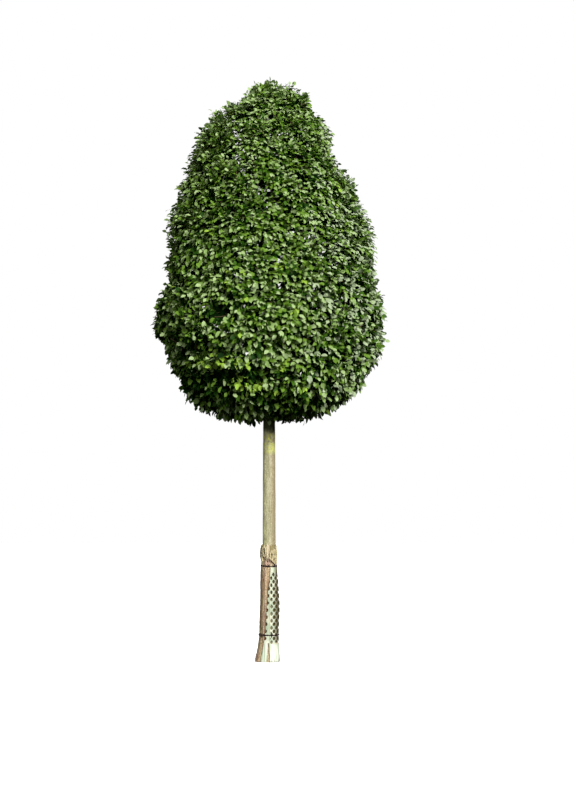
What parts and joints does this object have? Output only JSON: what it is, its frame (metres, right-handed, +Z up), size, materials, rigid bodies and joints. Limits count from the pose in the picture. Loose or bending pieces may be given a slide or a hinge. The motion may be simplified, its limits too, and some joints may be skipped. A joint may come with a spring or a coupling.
{
  "type": "standard-grown fastigiate european hornbeam",
  "caption": "Hornbeam tree grown as a standard: a straight clear stem under a dense egg-shaped crown, with sacking and a white plastic guard tied round the foot of the stem.",
  "frame": {"origin": "centre of the flat cut under the trunk, at ground level", "axes": "+Z up along the trunk, and the side seen in the picture faces -Y, with +X to its right"},
  "size_m": [2.3587, 2.34, 5.7871],
  "materials": {
    "bark": "smooth pale grey-olive bark with green and yellow algae patches",
    "inner_bark": "smooth grey-brown bark in shade",
    "foliage": "satin mid to dark green leaves with paler yellow-green young ones",
    "sacking": "coarse straw and jute sacking, frayed at the top and the foot",
    "guard_plastic": "matt off-white perforated plastic sheet",
    "tie_wire": "thin dark coated wire"
  },
  "bodies": {
    "root": {"trunk": "bark", "low_bough_1": "inner_bark", "low_bough_2": "inner_bark", "low_bough_3": "inner_bark", "low_bough_4": "inner_bark", "middle_bough_1": "inner_bark", "middle_bough_2": "inner_bark", "middle_bough_3": "inner_bark", "middle_bough_4": "inner_bark", "high_bough_1": "inner_bark", "high_bough_2": "inner_bark", "high_bough_3": "inner_bark", "upper_bough_1": "inner_bark", "upper_bough_2": "inner_bark", "upper_bough_3": "inner_bark", "low_foliage_1": "foliage", "low_foliage_2": "foliage", "low_foliage_3": "foliage", "low_foliage_4": "foliage", "middle_foliage_1": "foliage", "middle_foliage_2": "foliage", "middle_foliage_3": "foliage", "middle_foliage_4": "foliage", "high_foliage_1": "foliage", "high_foliage_2": "foliage", "high_foliage_3": "foliage", "upper_foliage_1": "foliage", "upper_foliage_2": "foliage", "upper_foliage_3": "foliage", "top_foliage": "foliage", "trunk_wrap": "sacking", "trunk_guard": "guard_plastic", "lower_tie": "tie_wire", "upper_tie": "tie_wire"}
  },
  "joints": []
}
